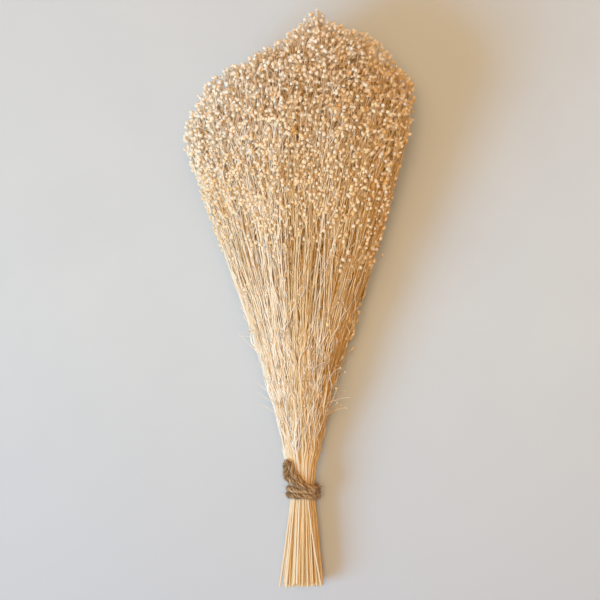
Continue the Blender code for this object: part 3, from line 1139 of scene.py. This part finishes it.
# About 11 fibre bundles round each ply, in ply radii, and 80 streaks a metre, each 12 mm long.
FIBRE_SCALE = (1.7, 1.7, 80.0)
FIBRE_DEPTH = 0.0005

jute, shader, add = new_finish(
    "plied_jute",
    {
        "Roughness": 0.85,
        "IOR": 1.5,
        "Specular IOR Level": 0.25,
        "Sheen Weight": 0.08,
        "Sheen Roughness": 0.5,
    },
)
fibre = add("ShaderNodeAttribute", attribute_name="fibre_place")
along_fibre = add("ShaderNodeMapping", {"Vector": fibre.outputs["Vector"], "Scale": FIBRE_SCALE})
streaks = add(
    "ShaderNodeTexNoise", {"Vector": along_fibre, "Scale": 1.0, "Detail": 4.0, "Roughness": 0.7}
)
colour = add(
    "ShaderNodeValToRGB",
    {"Fac": streaks.outputs["Fac"]},
    stops=((0.39, JUTE_DARK), (0.62, JUTE_PALE), (0.49, JUTE)),
)
relief = add(
    "ShaderNodeBump", {"Height": streaks.outputs["Fac"], "Strength": 0.9, "Distance": FIBRE_DEPTH}
)
feed(shader, {"Base Color": colour, "Normal": relief})


ply_tree, given, output, add = new_tree(
    "plied_twine",
    {
        "Plies": "Int",
        "Ply Radius": "Float",
        "Ply Offset": "Float",
        "Twist Length": "Float",
        "Ply Sides": "Int",
        "Unevenness": "Float",
        "Finish": "Material",
    },
)
copies = add(
    "GeometryNodeDuplicateElements",
    {"Geometry": given["Geometry"], "Amount": given["Plies"]},
    domain="SPLINE",
)
run = add("GeometryNodeSplineParameter")
turns = add(
    "ShaderNodeMath", {0: run.outputs["Length"], 1: given["Twist Length"]}, operation="DIVIDE"
)
share = add(
    "ShaderNodeMath", {0: copies.outputs["Duplicate Index"], 1: given["Plies"]}, operation="DIVIDE"
)
total = add("ShaderNodeMath", {0: turns, 1: share}, operation="ADD")
angle = add("ShaderNodeMath", {0: total, 1: 2 * math.pi}, operation="MULTIPLY")
normal = add("GeometryNodeInputNormal")
tangent = add("GeometryNodeInputTangent")
swung = add(
    "ShaderNodeVectorRotate",
    {"Vector": normal, "Axis": tangent, "Angle": angle},
    rotation_type="AXIS_ANGLE",
)
offset = add("ShaderNodeVectorMath", {0: swung, 3: given["Ply Offset"]}, operation="SCALE")
plies = add("GeometryNodeSetPosition", {"Geometry": copies.outputs["Geometry"], "Offset": offset})
plies = add(
    "GeometryNodeStoreNamedAttribute",
    {"Geometry": plies, "Name": "run", "Value": total},
    domain="POINT",
)
lumps = add("ShaderNodeTexNoise", {"Scale": LUMPS_PER_METRE, "Detail": 1.0})
thickness = lumps.outputs["Fac"]
for operation, value in (
    ("SUBTRACT", 0.5),
    ("MULTIPLY", given["Unevenness"]),
    ("ADD", 1.0),
    ("MULTIPLY", given["Ply Radius"]),
):
    thickness = add("ShaderNodeMath", {0: thickness, 1: value}, operation=operation)
ring = add("GeometryNodeCurvePrimitiveCircle", {"Resolution": given["Ply Sides"], "Radius": 1.0})
where = add("GeometryNodeInputPosition")
ring = add(
    "GeometryNodeStoreNamedAttribute",
    {"Geometry": ring, "Name": "side", "Value": where},
    data_type="FLOAT_VECTOR",
    domain="POINT",
)
skin = add(
    "GeometryNodeCurveToMesh",
    {"Curve": plies, "Profile Curve": ring, "Scale": thickness, "Fill Caps": True},
)
# The place on the fibres: round the ply, turned back as the yarn twists, and along it.
side = add("GeometryNodeInputNamedAttribute", {"Name": "side"}, data_type="FLOAT_VECTOR")
distance = add("GeometryNodeInputNamedAttribute", {"Name": "run"})
back = add("ShaderNodeMath", {0: distance, 1: -2 * math.pi * FIBRE_TURNS}, operation="MULTIPLY")
slant = add("ShaderNodeVectorRotate", {"Vector": side, "Angle": back}, rotation_type="Z_AXIS")
metres = add("ShaderNodeMath", {0: distance, 1: given["Twist Length"]}, operation="MULTIPLY")
upward = add("ShaderNodeCombineXYZ", {"Z": metres})
fibre_place = add("ShaderNodeVectorMath", {0: slant, 1: upward}, operation="ADD")
skin = add(
    "GeometryNodeStoreNamedAttribute",
    {"Geometry": skin, "Name": "fibre_place", "Value": fibre_place},
    data_type="FLOAT_VECTOR",
    domain="POINT",
)
skin = add("GeometryNodeRealizeInstances", {"Geometry": skin})
skin = add("GeometryNodeSetMaterial", {"Geometry": skin, "Material": given["Finish"]})
feed(output, {0: skin})

route = smooth_line(twine_route(), TWINE_SPACING)
course = bpy.data.curves.new("twine_course", "CURVE")
course.dimensions = "3D"
spline = course.splines.new("POLY")
spline.points.add(len(route) - 1)
spline.points.foreach_set("co", np.column_stack((route, np.ones(len(route)))).ravel())
twine = made_solid(
    "jute_twine",
    course,
    ply_tree,
    {
        "Plies": PLIES,
        "Ply Radius": PLY_RADIUS,
        "Ply Offset": PLY_OFFSET,
        "Twist Length": TWIST_LENGTH,
        "Ply Sides": PLY_SIDES,
        "Unevenness": UNEVENNESS,
        "Finish": jute,
    },
)
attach(twine, "root")
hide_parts("twine_tie")


# Loose jute fibres
#
# Coarse hairs of the same jute that stand off the twine all along it, each held at one end by the
# twist. Most lie along the plies, and the rest stand up, bent over by handling.
FIBRE_SEED = 7
LYING_FIBRES = 1000
LYING_RUN = (0.004, 0.010)
LYING_LEAN = (0.00, 0.22)
STANDING_FIBRES = 260
STANDING_RUN = (0.0015, 0.0045)
STANDING_LEAN = (0.30, 1.10)
FIBRE_GIRTHS = (0.00011, 0.00006)
FIBRE_POINTS = 6
FIBRE_SIDES = 3
FIBRE_TWIST = 0.5
# How far out a fibre starts and ends, in ply offsets.
FIBRE_START = 1.9
FIBRE_END = 2.2
FIBRE_BENDS = (0.2, 0.5)
# Each takes its colour from another place of the jute's pattern.
PATTERN_SIZE = 40


def loose_fibres():
    """The lines of the fibres, as bare edges for the node tree."""
    chance = random.Random(FIBRE_SEED)
    growth = Growth()
    places = []
    for number in range(LYING_FIBRES + STANDING_FIBRES):
        lying = number < LYING_FIBRES
        run = chance.uniform(*(LYING_RUN if lying else STANDING_RUN))
        lean = chance.uniform(*(LYING_LEAN if lying else STANDING_LEAN))
        i = chance.randrange(2, len(route) - 2)
        ahead = min(i + round(run / TWINE_SPACING), len(route) - 1)
        onward = unit(route[i + 1] - route[i - 1])
        aside = square_to(onward, random_way(chance))
        twisted = unit(aside + FIBRE_TWIST * np.cross(onward, aside))
        start = route[i] + PLY_OFFSET * FIBRE_START * aside
        end = route[ahead] + (PLY_OFFSET * FIBRE_END + lean * run) * twisted
        arrive = onward + FIBRE_BENDS[1] * random_way(chance)
        line = curved(start, onward + FIBRE_BENDS[0] * aside, end, arrive, FIBRE_POINTS)
        growth.add(line, FIBRE_GIRTHS, chance.random())
        place = (chance.uniform(0, PATTERN_SIZE), chance.uniform(0, PATTERN_SIZE), 0)
        places.extend([place] * len(line))
    lines = growth.mesh("fibre_lines")
    store(lines, "fibre_place", places)
    return lines


fuzz = made_solid(
    "jute_fibres",
    loose_fibres(),
    strand_tree,
    {"Stalk Sides": FIBRE_SIDES, "Branchlet Sides": FIBRE_SIDES, "Strand Finish": jute},
)
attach(fuzz, "root")


# The table, light and camera
#
# A plain pale table, painted and matt. A large soft light stands at the left, cool as a window, and
# a warm fill comes mostly from straight overhead, a little from the left, and faintly from all
# round. The camera looks straight down from high up, so little is foreshortened.
TABLE_PALE = "#BDC1C1"
TABLE_DARK = "#BABEBF"
# Towards the near edge, between these two values of y, the table is painted darker, as painted shade
# where the light falls off.
TABLE_PAINTED_SHADE = "#AFB2B6"
PAINTED_SHADE_FROM_Y = -0.010
PAINTED_SHADE_TO_Y = -0.260
TABLE_SIZE = 6.0
# Faint clouding of the paint, 70 mm across.
CLOUDS_PER_METRE = 14.0
FILL = "#FFD4A2"
WALL_STRENGTH = 0.31
CEILING_STRENGTH = 24.2
CEILING_FOCUS = 70
CEILING_FROM = (-0.08, 0.06, 0.995)
KEY_COLOUR = "#9AD5FF"
KEY_POWER = 95.8
KEY_SIZE = 1.44
KEY_DISTANCE = 2.7
KEY_AZIMUTH = math.radians(207)
KEY_ELEVATION = math.radians(36)
CAMERA_HEIGHT = 2.2
SENSOR_WIDTH = 36
FURTHEST_SEEN = 20
VIEW_WIDTH = 0.4790
VIEW_CENTRE = (0.0000, 0.0002)
# The photo's shadows are lifted a little.
SHADOW_LIFT = 1.3

bpy.ops.mesh.primitive_plane_add(size=TABLE_SIZE, location=(0, 0, 0))
table = bpy.context.object
table.name = "table"
paint, shader, add = new_finish("pale_table", {"Roughness": 0.9, "Specular IOR Level": 0.2})
place = add("ShaderNodeTexCoord")
clouds = add(
    "ShaderNodeTexNoise",
    {"Vector": place.outputs["Object"], "Scale": CLOUDS_PER_METRE, "Detail": 5.0},
)
colour = add(
    "ShaderNodeValToRGB",
    {"Fac": clouds.outputs["Fac"]},
    stops=((0.35, TABLE_DARK), (0.65, TABLE_PALE)),
)
axes = add("ShaderNodeSeparateXYZ", {"Vector": place.outputs["Object"]})
# Painted shade: the table darker towards the near edge.
painted_shade_share = add(
    "ShaderNodeMapRange", {"Value": axes.outputs["Y"], "From Min": PAINTED_SHADE_FROM_Y, "From Max": PAINTED_SHADE_TO_Y}
)
colour = add(
    "ShaderNodeMix", {"Factor": painted_shade_share, "A": colour, "B": linear(TABLE_PAINTED_SHADE)}, data_type="RGBA"
)
feed(shader, {"Base Color": colour.outputs["Result"]})
table.data.materials.append(paint)

room = bpy.data.worlds.new("room")
bpy.context.scene.world = room
room.use_nodes = True
sky = room.node_tree.nodes["Background"]
add = partial(add_node, room.node_tree)
where = add("ShaderNodeTexCoord")
toward = add(
    "ShaderNodeVectorMath", {0: where.outputs["Generated"], 1: CEILING_FROM}, operation="DOT_PRODUCT"
)
above = add("ShaderNodeMath", {0: toward.outputs["Value"], 1: 0.0}, operation="MAXIMUM")
overhead = add("ShaderNodeMath", {0: above, 1: CEILING_FOCUS}, operation="POWER")
strength = add(
    "ShaderNodeMapRange", {"Value": overhead, "To Min": WALL_STRENGTH, "To Max": CEILING_STRENGTH}
)
feed(sky, {"Color": linear(FILL), "Strength": strength})

key = bpy.data.lights.new("key_light", "AREA")
key.energy = KEY_POWER
key.size = KEY_SIZE
key.color = linear(KEY_COLOUR)[:3]
key_stand = new_object("key_light", key)
key_way = np.array(
    (
        math.cos(KEY_ELEVATION) * math.cos(KEY_AZIMUTH),
        math.cos(KEY_ELEVATION) * math.sin(KEY_AZIMUTH),
        math.sin(KEY_ELEVATION),
    )
)
key_stand.location = KEY_DISTANCE * key_way
key_stand.rotation_euler = key_stand.location.to_track_quat("Z", "Y").to_euler()

camera = bpy.data.cameras.new("camera")
camera.sensor_width = SENSOR_WIDTH
camera.lens = SENSOR_WIDTH * CAMERA_HEIGHT / VIEW_WIDTH
camera.clip_end = FURTHEST_SEEN
stand = new_object("camera", camera)
stand.location = (*VIEW_CENTRE, CAMERA_HEIGHT)
bpy.context.scene.camera = stand
bpy.context.scene.view_settings.view_transform = "Standard"
bpy.context.scene.view_settings.gamma = SHADOW_LIFT
